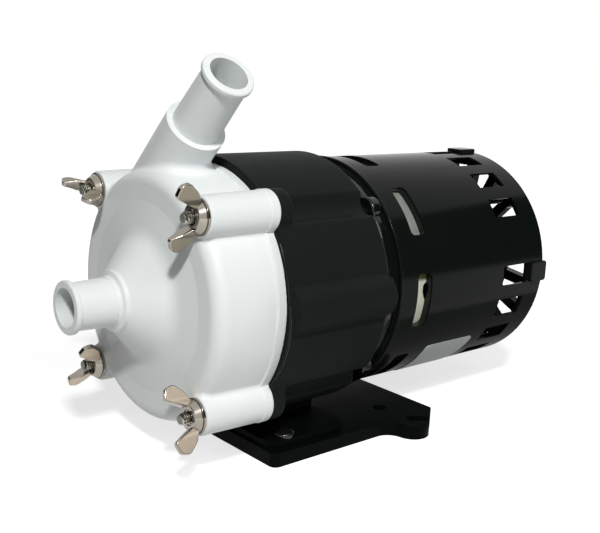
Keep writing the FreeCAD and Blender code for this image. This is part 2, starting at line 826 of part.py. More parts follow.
def front_end_bell():
    """Motor's front end bell: wall, bearing boss, slotted skirt in the shell and bolt ears."""
    rim_r = SHELL_R - SHELL_T
    cup_r = rim_r - 0.6
    wall_x = BRACKET_END_X + BELL_PAD_T
    inner_x = wall_x + BELL_T
    bearing_x = BRACKET_END_X + BELL_T
    cup = lathe([
        (BRACKET_END_X, BELL_HUB_R),
        (BRACKET_END_X, BELL_PAD_R, 1.0),
        (wall_x, BELL_PAD_R),
        (wall_x, cup_r, 2.0),
        (SKIRT_END_X, cup_r),
        (SKIRT_END_X, SKIRT_R),
        (inner_x, SKIRT_R, 2.0),
        (inner_x, BELL_HUB_R + 2, 1.5),
        (BEARING_END_X, BELL_HUB_R, 1.0),
        (BEARING_END_X, BEARING_R),
        (bearing_x, BEARING_R),
        (bearing_x, BELL_HUB_R),
    ])
    fit_band = ring(SHELL_FRONT_X, SKIRT_END_X, cup_r - 1.0, rim_r)
    ear = rounded_rod(wall_x, SHELL_FRONT_X - 0.6, BELL_EAR_R, 1.5)
    ear.translate(V(0, -BELL_EAR_CIRCLE_R, 0))
    body = cup.fuse([fit_band] + [turned(ear, turn) for turn in TIE_TURNS])
    body = body.cut(ring(inner_x, SKIRT_END_X, BELL_HUB_R + 3, SKIRT_R))
    bolt_hole = rod(BRACKET_END_X - 1, SHELL_FRONT_X + 3, TIE_R, -TIE_CIRCLE_R, 0)
    screw_hole = rod(BRACKET_END_X - 1, BRACKET_WALL_X + 14, BRACKET_SCREW_R, -BRACKET_SCREW_CIRCLE_R, 0)
    holes = bolt_hole.fuse(screw_hole)
    body = body.cut([turned(holes, turn) for turn in TIE_TURNS])
    return body.cut(shell_slots()).removeSplitter()


def winding_sleeve():
    """Pale insulating sleeve round the front end turns, seen through the shell's slots."""
    return ring(BRACKET_END_X + BELL_PAD_T + BELL_T + 3, STATOR_X0 - 0.3, SLEEVE_R - SLEEVE_T, SLEEVE_R)


def shell_slots():
    """Cooling slots round the front of the shell, cut through the end bell's skirt as well."""
    half_w = SHELL_SLOT_W / 2
    half_l = SHELL_SLOT_L / 2
    slot = prism([
        (-half_w, -half_l, SHELL_SLOT_ROUND),
        (half_w, -half_l, SHELL_SLOT_ROUND),
        (half_w, half_l, SHELL_SLOT_ROUND),
        (-half_w, half_l, SHELL_SLOT_ROUND),
    ], V(0, 0, SHELL_T * 12))
    slot.translate(V(SHELL_SLOT_X, 0, SHELL_R - SHELL_T * 10))
    return Part.makeCompound(around(slot, SHELL_SLOTS, SHELL_SLOT_TURN))


def motor_shell():
    """Rolled steel shell with cooling slots at the front and windows at the rear."""
    shell = ring(SHELL_FRONT_X, SHELL_END_X, SHELL_R - SHELL_T, SHELL_R)
    bead = lathe([
        (SHELL_FRONT_X, SHELL_R - 0.5),
        (SHELL_FRONT_X, SHELL_R + SHELL_BEAD, 0.6),
        (SHELL_FRONT_X + SHELL_BEAD_W, SHELL_R + SHELL_BEAD, 0.6),
        (SHELL_FRONT_X + SHELL_BEAD_W, SHELL_R - 0.5),
    ])
    half_span = SHELL_R * math.radians(WINDOW_SPAN / 2)
    window = box(WINDOW_X0, WINDOW_X1, -half_span, half_span, SHELL_R - SHELL_T * 4, SHELL_R + 4)
    windows = [turned(window, i * 360 / VENTS) for i in range(VENTS) if i not in BLIND_VENTS]
    lead_hole = lead_rod(SHELL_R - 5, SHELL_R + 2, GROMMET_R)
    return shell.fuse(bead).cut([shell_slots(), Part.makeCompound(windows), lead_hole])


def stator_core():
    """Laminated stator with winding slots open to its bore."""
    core = ring(STATOR_X0, STATOR_X1, STATOR_BORE_R, SHELL_R - SHELL_T - FIT)
    mouth = box(STATOR_X0, STATOR_X1, -1.4, 1.4, STATOR_BORE_R - 2, STATOR_BORE_R + 3.5)
    pocket = rod(STATOR_X0, STATOR_X1, 3.0, 0, STATOR_BORE_R + 6)
    pocket_top = rod(STATOR_X0, STATOR_X1, 3.8, 0, STATOR_BORE_R + 11)
    cutter = mouth.fuse([pocket, pocket_top])
    core = core.cut(Part.makeCompound(around(cutter, STATOR_TEETH)))
    bolt_hole = rod(STATOR_X0 - 1, STATOR_X1 + 1, TIE_R + 0.2, -TIE_CIRCLE_R, 0)
    return core.cut([turned(bolt_hole, turn) for turn in TIE_TURNS])


def winding(core_x, end_x):
    """Taped end turns of the stator winding, from the core's face outwards."""
    return lathe([
        (core_x, WINDING_IN_R),
        (core_x, WINDING_R),
        (end_x, WINDING_R, 4.5),
        (end_x, WINDING_IN_R, 3.0),
    ])


def rotor_core():
    """Rotor with cast end rings and small fan blades."""
    core = ring(STATOR_X0, STATOR_X1, SHAFT_R, ROTOR_R)
    ring_l = 4.0
    blade_l = 12.0
    parts = [
        ring(STATOR_X0 - ring_l, STATOR_X0, CAST_RING_IN_R, CAST_RING_R),
        ring(STATOR_X1, STATOR_X1 + ring_l, CAST_RING_IN_R, CAST_RING_R),
    ]
    for x0, x1 in ((STATOR_X0 - blade_l, STATOR_X0 - 3), (STATOR_X1 + 3, STATOR_X1 + blade_l - 2)):
        blade = box(x0, x1, -1.0, 1.0, CAST_RING_IN_R + 0.5, CAST_RING_R - 0.5)
        parts += around(blade, FAN_BLADES)
    return core.fuse(parts).removeSplitter()


def rear_end_bell():
    """Rear end bell: bearing boss, vented face, rim in the shell and four outer tabs."""
    rim_r = SHELL_R - SHELL_T
    face_x = SHELL_END_X + 1.6
    cap_x = SHELL_END_X + 4.5
    plate = lathe([
        (SHELL_END_X - 3.5, BEARING_R),
        (SHELL_END_X - 3.5, rim_r - 2.4, 1.0),
        (SHELL_END_X - 10, rim_r - 2.4),
        (SHELL_END_X - 10, rim_r),
        (SHELL_END_X, rim_r),
        (SHELL_END_X, SHELL_R),
        (face_x, SHELL_R, 0.8),
        (face_x, REAR_BOSS_R + 1, 2.0),
        (cap_x, REAR_BOSS_R - 1, 1.5),
        (cap_x, 0),
        (cap_x - 2.5, 0),
        (cap_x - 2.5, BEARING_R),
    ])
    boss = ring(SHELL_END_X - REAR_BEARING_L, SHELL_END_X - 2, BEARING_R, REAR_BOSS_R)
    lug = rod(SHELL_END_X - 8, face_x, 4.8, -TIE_CIRCLE_R, 0)
    body = plate.fuse(boss)
    body = body.cut(Part.makeCompound(around(vent_cutter(), VENTS)))
    body = body.fuse([turned(lug, turn) for turn in TIE_TURNS] + around(tab_hook(), 4))
    bolt_hole = rod(SHELL_END_X - 9, face_x + 1, TIE_R, -TIE_CIRCLE_R, 0)
    return body.cut([turned(bolt_hole, turn) for turn in TIE_TURNS]).removeSplitter()


def vent_cutter():
    """Tapered opening between two arms of the rear face."""
    pitch_half = math.radians(180.0 / VENTS)

    def edge_point(radius):
        turn = pitch_half - math.asin(REAR_ARM_W / 2 / radius)
        return radius * math.sin(turn), radius * math.cos(turn)

    a_in, b_in = edge_point(REAR_ARM_R0)
    a_out, b_out = edge_point(REAR_ARM_R1)
    outline = prism([
        (-a_in, b_in, 0.8),
        (-a_out, b_out, 0.8),
        (a_out, b_out, 0.8),
        (a_in, b_in, 0.8),
    ], V(0, 0, 12))
    return along_x(outline, SHELL_END_X - 6)


def tab_hook():
    """Sheet tab that grips the shell's rear edge from outside, on the near side."""
    outer = SHELL_R + TAB_T
    back = SHELL_END_X + TAB_BACK
    front = SHELL_END_X - TAB_REACH
    plan = prism([
        (front, -TAB_HALF_W, TAB_ROUND),
        (back, -TAB_HALF_W, TAB_ROUND),
        (back, TAB_HALF_W, TAB_ROUND),
        (front, TAB_HALF_W, TAB_ROUND),
    ], V(0, 0, outer - (SHELL_R - 6)))
    plan = plan.makeFillet(TAB_T / 3, [e for e in plan.Edges if middle(e).z > outer - (SHELL_R - 6) - FIT])
    plan.rotate(V(0, 0, 0), V(1, 0, 0), 90)
    plan.translate(V(0, -(SHELL_R - 6), 0))
    return plan.cut(rod(front - 1, SHELL_END_X, SHELL_R + FIT)).removeSplitter()


def tie_bolts():
    """Four long bolts that pull the two end bells together through the stator."""
    seat_x = BRACKET_END_X + BELL_PAD_T
    bolt = rod(seat_x, SHELL_END_X + 1.0, TIE_R, -TIE_CIRCLE_R, 0)
    head = rod(BRACKET_END_X + 0.3, seat_x, TIE_HEAD_R, -TIE_CIRCLE_R, 0)
    whole = bolt.fuse(head)
    return Part.makeCompound([turned(whole, turn) for turn in TIE_TURNS])


def sleeve_bearing(x0, x1):
    """Sintered sleeve with running clearance on the shaft."""
    return ring(x0, x1, SHAFT_R + 0.03, BEARING_R)


def lead_rod(r0, r1, radius):
    """Round bar on the radial line of the motor leads, between two distances from the axis."""
    bar = Part.makeCylinder(radius, r1 - r0, V(LEAD_X, -r0, 0), V(0, -1, 0))
    return turned(bar, -LEAD_TURN)


def lead_grommet():
    """Rubber grommet for the motor leads, in the far side of the shell."""
    inner_r = SHELL_R - SHELL_T - 0.5
    outside = lead_rod(SHELL_R, SHELL_R + 1.6, GROMMET_R + 1.8)
    middle_part = lead_rod(inner_r, SHELL_R, GROMMET_R)
    inside = lead_rod(inner_r - 1.2, inner_r, GROMMET_R + 1.4)
    hole = lead_rod(inner_r - 2, SHELL_R + 3, GROMMET_R - 1.8)
    return outside.fuse([middle_part, inside]).cut(hole).removeSplitter()


def build():
    spider_x = CHAMBER_FRONT_X - SPIDER_DEPTH
    front_washer_x = CHAMBER_FRONT_X - WASHER_X
    save("volute_casing", volute_casing())
    save("rear_housing", rear_housing())
    save("casing_o_ring", casing_o_ring())
    save("pump_spindle", rod(spider_x, CAN_END_X - CAN_WALL, SPINDLE_R))
    save("front_thrust_washer", ring(front_washer_x, front_washer_x + THRUST_T, SPINDLE_R + 0.02, SPIDER_HUB_R))
    save("rear_thrust_washer", ring(
        CAPSULE_END_X + WASHER_X - THRUST_T, CAPSULE_END_X + WASHER_X, SPINDLE_R + 0.02, BUSH_R - 0.2))
    save("impeller", impeller())
    save("impeller_bushing", ring(IMPELLER_FRONT_X - 0.4, CAPSULE_END_X, SPINDLE_R + 0.04, BUSH_R))
    save("inner_magnet", magnet_room())
    save("drive_magnet_hub", drive_magnet_hub())
    save("drive_magnets", drive_magnets())
    screw_place = V(DRIVE_BOSS_END_X - SET_SCREW_BACK, 0, SHAFT_R)
    save("hub_set_screw", Part.makeCylinder(SET_SCREW_R, DRIVE_BOSS_R - SHAFT_R - 0.4, screw_place))
    save("motor_bracket", motor_bracket())
    save("bracket_screws", bracket_screws())
    save("base_plate", base_plate())
    save("base_screws", base_screws())
    save("casing_studs", casing_studs())
    places = {
        "near_top": (-BOLT_OFFSET, BOLT_OFFSET, 105.0),
        "far_top": (BOLT_OFFSET, BOLT_OFFSET, 14.0),
        "near_bottom": (-BOLT_OFFSET, -BOLT_OFFSET, 61.0),
        "far_bottom": (BOLT_OFFSET, -BOLT_OFFSET, 126.0),
    }
    for place, (y, z, turn) in places.items():
        save("wing_nut_" + place, wing_nut(y, z, turn))
        save("wing_washer_" + place, wing_washer(y, z))
    save("front_end_bell", front_end_bell())
    save("winding_sleeve", winding_sleeve())
    save("motor_shell", motor_shell())
    save("stator_core", stator_core())
    save("front_winding", winding(STATOR_X0, STATOR_X0 - WINDING_FRONT_L))
    save("rear_winding", winding(STATOR_X1, STATOR_X1 + WINDING_REAR_L))
    save("rotor_core", rotor_core())
    save("motor_shaft", rod(DRIVE_WEB_X + 1, SHELL_END_X + 1, SHAFT_R))
    save("front_sleeve_bearing", sleeve_bearing(BRACKET_END_X + BELL_T, BEARING_END_X))
    save("rear_sleeve_bearing", sleeve_bearing(SHELL_END_X - REAR_BEARING_L, SHELL_END_X - 0.5))
    save("rear_end_bell", rear_end_bell())
    save("tie_bolts", tie_bolts())
    save("lead_grommet", lead_grommet())


build()
os.makedirs("parts", exist_ok=True)
for name, shape in PARTS.items():
    shape.exportStep("parts/" + name + ".step")
    print(name, "valid", shape.isValid(), "solids", len(shape.Solids), "volume", round(shape.Volume, 1))
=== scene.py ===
import math

import bmesh
import bpy
from mathutils import Matrix, Vector


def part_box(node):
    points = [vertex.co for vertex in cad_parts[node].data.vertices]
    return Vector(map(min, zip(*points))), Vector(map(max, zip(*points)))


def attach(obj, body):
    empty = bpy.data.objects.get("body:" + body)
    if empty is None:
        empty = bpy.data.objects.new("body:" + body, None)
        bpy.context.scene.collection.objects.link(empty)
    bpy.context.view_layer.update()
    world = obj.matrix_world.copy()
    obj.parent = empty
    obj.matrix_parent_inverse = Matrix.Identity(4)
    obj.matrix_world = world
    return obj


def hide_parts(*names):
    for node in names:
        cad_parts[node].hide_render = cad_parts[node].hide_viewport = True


# Looks of a magnetic drive pump, built around its fixed frame.
# Pieces are drawn about the pump axis in millimetres: x runs along the axis from the joint
# plane between the pale casing and the dark bracket, towards the motor; z is up.
# An angle phi round the axis is 0 on the near side and 90 at the top.

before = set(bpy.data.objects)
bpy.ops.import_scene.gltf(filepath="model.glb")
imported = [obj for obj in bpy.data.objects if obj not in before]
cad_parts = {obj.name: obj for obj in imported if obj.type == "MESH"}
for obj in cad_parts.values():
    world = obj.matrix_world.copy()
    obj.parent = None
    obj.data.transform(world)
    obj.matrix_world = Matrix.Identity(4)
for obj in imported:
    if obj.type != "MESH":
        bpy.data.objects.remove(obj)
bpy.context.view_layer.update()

MM = 0.001
SHAFT_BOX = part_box("motor_shaft")
AXIS_Z = (SHAFT_BOX[0].z + SHAFT_BOX[1].z) / 2
JOINT_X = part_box("motor_bracket")[0].x
TO_FRAME = Matrix.Translation((JOINT_X, 0, AXIS_Z)) @ Matrix.Scale(MM, 4)


# Camera, surroundings and lamps, in metres and watts

CAMERA_PLACE = (-0.28673, -0.33269, 0.16998)
CAMERA_YAW = math.radians(49.16)
CAMERA_PITCH = math.radians(12.291)
CAMERA_ROLL = math.radians(2.497)
CAMERA_LENS = 55.84
CAMERA_NEAR = 0.01
SENSOR_WIDTH = 36.0

WHITE_RAYS = ("Is Camera Ray", "Is Glossy Ray", "Is Transmission Ray")
FILL_COLOUR = (0.90, 1.0, 0.96, 1)
FILL_STRENGTH = 0.035
FLOOR_HALF_SIDE = 6.0
FLOOR_COLOUR = (0.62, 0.62, 0.62, 1)
FLOOR_GLOW = 0.72
FLOOR_SHADE_REACH = 0.15
FLOOR_WHITE_REACH = 0.5

CARD_HALF_SIDE = 0.5

# Each card: place, the point that it faces, width and height, and brightness.
CARDS = {
    "dark_card_right": ((0.96, -1.15, 0.63), (0, 0, 0.63), (3.2, 1.3), 0.003),
    "dark_card_left": ((-0.45, 0.35, 0.16), (0, 0, 0.16), (0.8, 0.34), 0.003),
    # Painted shadow: the dim card on the floor under the motor stands in for the motor's shadow there,
    # seen only in reflections.
    "floor_shadow_card": ((0.15, -0.01, 0.001), (0.15, -0.01, 1), (0.22, 0.20), 0.30),
}

# Each lamp: place, side, power, and whether reflections show it.
LAMPS = {
    "key_light": ((-0.54, -0.72, 0.86), 0.1, 10.0, True),
    "side_light": ((-0.1, -0.7, 0.75), 0.3, 1.5, True),
    "back_light": ((1.2, -1.0, 0.7), 0.8, 4.0, False),
}
LAMP_TARGET = (0.0, 0.0, 0.07)


def set_camera():
    """Camera where the photograph was taken from."""
    data = bpy.data.cameras.new("camera")
    data.lens = CAMERA_LENS
    data.sensor_width = SENSOR_WIDTH
    data.clip_start = CAMERA_NEAR
    camera = bpy.data.objects.new("camera", data)
    level = math.cos(CAMERA_PITCH)
    view = Vector((math.cos(CAMERA_YAW) * level, math.sin(CAMERA_YAW) * level, -math.sin(CAMERA_PITCH)))
    side = Vector((math.sin(CAMERA_YAW), -math.cos(CAMERA_YAW), 0))
    top = side.cross(view)
    right = side * math.cos(CAMERA_ROLL) + top * math.sin(CAMERA_ROLL)
    up = top * math.cos(CAMERA_ROLL) - side * math.sin(CAMERA_ROLL)
    turn = Matrix((right, up, -view)).transposed().to_4x4()
    camera.matrix_world = Matrix.Translation(CAMERA_PLACE) @ turn
    bpy.context.scene.collection.objects.link(camera)
    bpy.context.scene.camera = camera


def emptied(owner, output_kind):
    """Nodes, links and output of a material or world that has nothing else yet."""
    owner.use_nodes = True
    nodes = owner.node_tree.nodes
    nodes.clear()
    return nodes, owner.node_tree.links, nodes.new(output_kind)


def white_rays(nodes, links):
    """Output that is 1 on the rays that see the surroundings white."""
    path = nodes.new("ShaderNodeLightPath")
    last = path.outputs[WHITE_RAYS[0]]
    for kind in WHITE_RAYS[1:]:
        either = nodes.new("ShaderNodeMath")
        either.operation = "MAXIMUM"
        links.new(last, either.inputs[0])
        links.new(path.outputs[kind], either.inputs[1])
        last = either.outputs[0]
    return last


def set_world():
    """Pale surroundings: white where the camera or a reflection looks past the floor."""
    world = bpy.data.worlds.new("studio")
    bpy.context.scene.world = world
    nodes, links, out = emptied(world, "ShaderNodeOutputWorld")
    mix = nodes.new("ShaderNodeMixShader")
    fill = nodes.new("ShaderNodeBackground")
    fill.inputs["Color"].default_value = FILL_COLOUR
    fill.inputs["Strength"].default_value = FILL_STRENGTH
    white = nodes.new("ShaderNodeBackground")
    white.inputs["Color"].default_value = (1, 1, 1, 1)
    white.inputs["Strength"].default_value = 1.0
    links.new(white_rays(nodes, links), mix.inputs["Fac"])
    links.new(fill.outputs[0], mix.inputs[1])
    links.new(white.outputs[0], mix.inputs[2])
    links.new(mix.outputs[0], out.inputs["Surface"])


def stage_grid(name, half_side, material):
    """Flat square that belongs to the studio."""
    shape = bmesh.new()
    bmesh.ops.create_grid(shape, x_segments=1, y_segments=1, size=half_side)
    mesh = bpy.data.meshes.new(name)
    shape.to_mesh(mesh)
    shape.free()
    mesh.materials.append(material)
    thing = bpy.data.objects.new(name, mesh)
    bpy.context.scene.collection.objects.link(thing)
    return thing


def set_floor():
    """Plain pale floor that turns white away from the object and keeps its shadow."""
    material = bpy.data.materials.new("floor_white")
    nodes, links, out = emptied(material, "ShaderNodeOutputMaterial")
    both = nodes.new("ShaderNodeAddShader")
    matt = nodes.new("ShaderNodeBsdfDiffuse")
    matt.inputs["Color"].default_value = FLOOR_COLOUR
    glow = nodes.new("ShaderNodeEmission")
    place = nodes.new("ShaderNodeTexCoord")
    reach = nodes.new("ShaderNodeVectorMath")
    reach.operation = "LENGTH"
    links.new(place.outputs["Object"], reach.inputs[0])
    rise = nodes.new("ShaderNodeMapRange")
    rise.interpolation_type = "SMOOTHSTEP"
    rise.inputs["From Min"].default_value = FLOOR_SHADE_REACH
    rise.inputs["From Max"].default_value = FLOOR_WHITE_REACH
    rise.inputs["To Min"].default_value = FLOOR_GLOW
    rise.inputs["To Max"].default_value = 1.0
    links.new(reach.outputs["Value"], rise.inputs["Value"])
    share = nodes.new("ShaderNodeMath")
    share.operation = "MULTIPLY"
    links.new(rise.outputs["Result"], share.inputs[0])
    links.new(white_rays(nodes, links), share.inputs[1])
    links.new(share.outputs[0], glow.inputs["Strength"])
    links.new(matt.outputs[0], both.inputs[0])
    links.new(glow.outputs[0], both.inputs[1])
    links.new(both.outputs[0], out.inputs["Surface"])
    stage_grid("floor", FLOOR_HALF_SIDE, material)


def set_cards():
    """Dark sides of the room, and a painted shadow of the motor on the floor, seen only in what the
    pieces reflect.
    """
    for name, (place, target, (width, height), brightness) in CARDS.items():
        material = bpy.data.materials.new(name)
        nodes, links, out = emptied(material, "ShaderNodeOutputMaterial")
        glow = nodes.new("ShaderNodeEmission")
        glow.inputs["Strength"].default_value = brightness
        links.new(glow.outputs[0], out.inputs["Surface"])
        card = stage_grid(name, CARD_HALF_SIDE, material)
        way = Vector(target) - Vector(place)
        card.scale = (width, height, 1)
        card.rotation_euler = way.to_track_quat("Z", "Y").to_euler()
        card.location = place
        card.visible_camera = False
        card.visible_diffuse = False
        card.visible_shadow = False
        card.visible_transmission = False


def set_lamps():
    """Square soft lights that face the pump."""
    for name, (place, side, watts, reflected) in LAMPS.items():
        data = bpy.data.lights.new(name, "AREA")
        data.shape = "SQUARE"
        data.size = side
        data.energy = watts
        lamp = bpy.data.objects.new(name, data)
        way = Vector(LAMP_TARGET) - Vector(place)
        lamp.rotation_euler = way.to_track_quat("-Z", "Y").to_euler()
        lamp.location = place
        lamp.visible_glossy = reflected
        bpy.context.scene.collection.objects.link(lamp)


set_camera()
set_world()
set_floor()
set_cards()
set_lamps()


# Finishes

SHEEN_SCALE = 60.0
MIX_COLOURS = (6, 7)
MIX_RESULT = 2
LOOKS = {
    "white_plastic": dict(colour=(0.80, 0.83, 0.825), rough=0.42, tone=0.015, specular=0.25,
                          bump=0.10, bump_scale=1400.0),
    "black_gloss": dict(colour=(0.0105, 0.0130, 0.0118), rough=0.50, tone=0.2, specular=0.025,
                        bump=0.12, bump_scale=700.0),
    "black_enamel": dict(colour=(0.0052, 0.0070, 0.0058), rough=0.15, rough_spread=0.04, tone=0.2,
                         specular=0.06, bump=0.05, bump_scale=500.0),
    "black_satin": dict(colour=(0.0020, 0.0032, 0.0027), rough=0.42, tone=0.25, specular=0.02,
                        bump=0.25, bump_scale=900.0),
    "black_screw": dict(colour=(0.050, 0.050, 0.048), rough=0.17, metal=0.9, tone=0.2),
    "nickel": dict(colour=(0.32, 0.295, 0.255), rough=0.18, metal=1.0, tone=0.15, tone_scale=200.0,
                   bump=0.2, bump_scale=350.0),
    "nickel_matt": dict(colour=(0.25, 0.225, 0.172), rough=0.42, metal=1.0, tone=0.10,
                        tone_scale=120.0, bump=0.3, bump_scale=500.0),
    # Painted light: a paler, lit copy of the matt nickel for the flat sides of the lower wing nuts.
    "nickel_matt_painted_lit": dict(colour=(0.56, 0.475, 0.38), rough=0.55, metal=1.0, tone=0.10,
                        tone_scale=120.0, bump=0.3, bump_scale=500.0),
    # Painted shade: a dark colour for the nut's mouth and the stud core between the thread ridges,
    # standing in for shade in these recesses; in the mouth it also stands for tarnish.
    "shade_and_tarnish": dict(colour=(0.045, 0.036, 0.026), rough=0.5, metal=0.4, tone=0.3),
    "stud_steel": dict(colour=(0.46, 0.45, 0.40), rough=0.24, metal=1.0, tone=0.08, bump=0.15),
    "stud_end": dict(colour=(0.19, 0.195, 0.17), rough=0.45, metal=0.8, tone=0.2, bump=0.3),
    # Painted light: a paler, lit copy of the sleeve tape for the stretch seen through the lower slot.
    "tape_painted_lit": dict(colour=(0.60, 0.62, 0.50), rough=0.55, tone=0.2, tone_scale=180.0,
                      bump=0.5, bump_scale=800.0),
    "tape_olive": dict(colour=(0.17, 0.18, 0.045), rough=0.5, tone=0.4, tone_scale=300.0),
    "bare_foil": dict(colour=(0.60, 0.63, 0.63), rough=0.42, metal=0.5),
    "bright_steel": dict(colour=(0.58, 0.57, 0.54), rough=0.28, metal=1.0, tone=0.05, bump=0.15),
    "seal_rubber": dict(colour=(0.018, 0.018, 0.018), rough=0.6, tone=0.2, bump=0.3),
    "ceramic": dict(colour=(0.80, 0.78, 0.72), rough=0.25, tone=0.03),
    "carbon": dict(colour=(0.035, 0.035, 0.036), rough=0.45, tone=0.3, bump=0.3),
    "ferrite": dict(colour=(0.050, 0.048, 0.046), rough=0.55, tone=0.3, bump=0.4, bump_scale=1500.0),
    "lamination": dict(colour=(0.12, 0.125, 0.13), rough=0.45, metal=0.7, tone=0.2),
    "bronze": dict(colour=(0.50, 0.33, 0.16), rough=0.35, metal=1.0, tone=0.15, bump=0.3),
    # A near-black olive colour for the windings, which show behind the sleeve's torn edge.
    "winding_dark": dict(colour=(0.020, 0.022, 0.012), rough=0.35, tone=0.4, tone_scale=150.0,
                         bump=0.5, bump_scale=500.0),
    "wet_enamel": dict(colour=(0.0040, 0.0055, 0.0048), rough=0.12, rough_spread=0.05, tone=0.2,
                       specular=0.35, bump=0.35, bump_scale=220.0, bump_depth=0.0006),
    "winding_tape": dict(colour=(0.25, 0.26, 0.235), rough=0.55, tone=0.25, tone_scale=180.0,
                         bump=0.5, bump_scale=800.0),
}
SPECIAL_FINISHES = {
    "front_winding": "winding_dark", "rear_winding": "winding_dark", "front_end_bell": "wet_enamel",
}


def noise(nodes, links, place, scale, detail):
    """Noise in the piece's own coordinates."""
    texture = nodes.new("ShaderNodeTexNoise")
    texture.inputs["Scale"].default_value = scale
    texture.inputs["Detail"].default_value = detail
    links.new(place.outputs["Object"], texture.inputs["Vector"])
    return texture.outputs["Fac"]


def finish(name, colour, rough, rough_spread=0.06, metal=0.0, specular=0.5, tone=0.06, tone_scale=25.0,
           bump=0.05, bump_scale=900.0, bump_depth=0.0002):
    """Surface with gentle mottling, uneven sheen and a fine grain."""
    material = bpy.data.materials.new(name)
    material.use_nodes = True
    nodes = material.node_tree.nodes
    links = material.node_tree.links
    shader = nodes["Principled BSDF"]
    shader.inputs["Metallic"].default_value = metal
    shader.inputs["Specular IOR Level"].default_value = specular
    place = nodes.new("ShaderNodeTexCoord")
    shade = nodes.new("ShaderNodeMix")
    shade.data_type = "RGBA"
    dark, pale = (shade.inputs[socket] for socket in MIX_COLOURS)
    dark.default_value = [c * (1 - tone) for c in colour] + [1]
    pale.default_value = [min(1.0, c * (1 + tone)) for c in colour] + [1]
    links.new(noise(nodes, links, place, tone_scale, detail=4.0), shade.inputs[0])
    links.new(shade.outputs[MIX_RESULT], shader.inputs["Base Color"])
    spread = nodes.new("ShaderNodeMapRange")
    spread.inputs["To Min"].default_value = rough - rough_spread
    spread.inputs["To Max"].default_value = rough + rough_spread
    links.new(noise(nodes, links, place, SHEEN_SCALE, detail=3.0), spread.inputs["Value"])
    links.new(spread.outputs["Result"], shader.inputs["Roughness"])
    relief = nodes.new("ShaderNodeBump")
    relief.inputs["Strength"].default_value = bump
    relief.inputs["Distance"].default_value = bump_depth
    links.new(noise(nodes, links, place, bump_scale, detail=2.0), relief.inputs["Height"])
    links.new(relief.outputs["Normal"], shader.inputs["Normal"])
    return material


FINISHES = {name: finish(name, **look) for name, look in LOOKS.items()}


def dress_frame():
    """Gives every fixed piece the finish of its material slot, or its own where it has one."""
    for name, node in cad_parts.items():
        for place in node.material_slots:
            slot = place.material.name.split(".")[0]
            place.material = FINISHES[SPECIAL_FINISHES.get(name, slot)]


dress_frame()


# Drawing helpers, in millimetres about the pump axis

MERGE = 0.0005
SHARP_ANGLE = math.radians(40)


def rounded(points, steps=5):
    """Closed outline with rounded corners, from (a, b) or (a, b, radius)."""
    line = []
    for i, point in enumerate(points):
        here = Vector(point[:2])
        if len(point) == 2:
            line.append(here)
            continue
        back = (Vector(points[i - 1][:2]) - here).normalized()
        ahead = (Vector(points[(i + 1) % len(points)][:2]) - here).normalized()
        half = back.angle(ahead) / 2
        centre = here + (back + ahead).normalized() * point[2] / math.sin(half)
        start = here + back * point[2] / math.tan(half) - centre
        sweep = start.angle_signed(here + ahead * point[2] / math.tan(half) - centre)
        for k in range(steps + 1):
            line.append(centre + Matrix.Rotation(-sweep * k / steps, 2) @ start)
    return line


def about_x(degrees):
    """Turn about the x axis."""
    return Matrix.Rotation(math.radians(degrees), 3, "X")


def round_axis(x, r, phi):
    """Place at a radius and an angle round the pump axis, in radians."""
    return x, -r * math.cos(phi), r * math.sin(phi)


def ring(shape, places):
    """Vertices and edges of a closed ring through the places."""
    verts = [shape.verts.new(place) for place in places]
    return verts, [shape.edges.new(pair) for pair in zip(verts, verts[1:] + verts[:1])]


def skin(shape, loops, closed=False):
    """Skin over a row of loops, with both ends capped unless the row closes on itself."""
    for one, two in zip(loops, loops[1:] + (loops[:1] if closed else [])):
        bmesh.ops.bridge_loops(shape, edges=one + two)
    if not closed:
        for loop in (loops[0], loops[-1]):
            bmesh.ops.contextual_create(shape, geom=loop)


def lathe(shape, profile, count=64):
    """Turned body about the x axis from a closed (x, r) outline."""
    verts, edges = ring(shape, [(x, 0, r) for x, r in profile])
    bmesh.ops.spin(shape, geom=verts + edges, cent=(0, 0, 0), axis=(1, 0, 0), angle=2 * math.pi,
                   steps=count, use_merge=True)
    bmesh.ops.remove_doubles(shape, verts=shape.verts, dist=MERGE)


def settle(name, shape, finishes, body, slot, *stands_for):
    """Makes an object that rides on a body, of a shape in metres."""
    bmesh.ops.recalc_face_normals(shape, faces=shape.faces)
    mesh = bpy.data.meshes.new(name)
    shape.to_mesh(mesh)
    shape.free()
    for used in finishes:
        mesh.materials.append(FINISHES[used])
    mesh.shade_smooth()
    mesh.set_sharp_from_angle(angle=SHARP_ANGLE)
    thing = bpy.data.objects.new(name, mesh)
    bpy.context.scene.collection.objects.link(thing)
    normals = thing.modifiers.new("normals", "WEIGHTED_NORMAL")
    normals.keep_sharp = True
    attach(thing, body)
    if stands_for:
        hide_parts(*stands_for)


def piece(name, shape, finishes, body, slot, *stands_for):
    """Puts a shape that is drawn about the pump axis into the frame."""
    bmesh.ops.transform(shape, matrix=TO_FRAME, verts=shape.verts)
    settle(name, shape, finishes, body, slot, *stands_for)


# Wing nuts

BOLT_OFFSET = 40.5
SEAT_X = -33.9

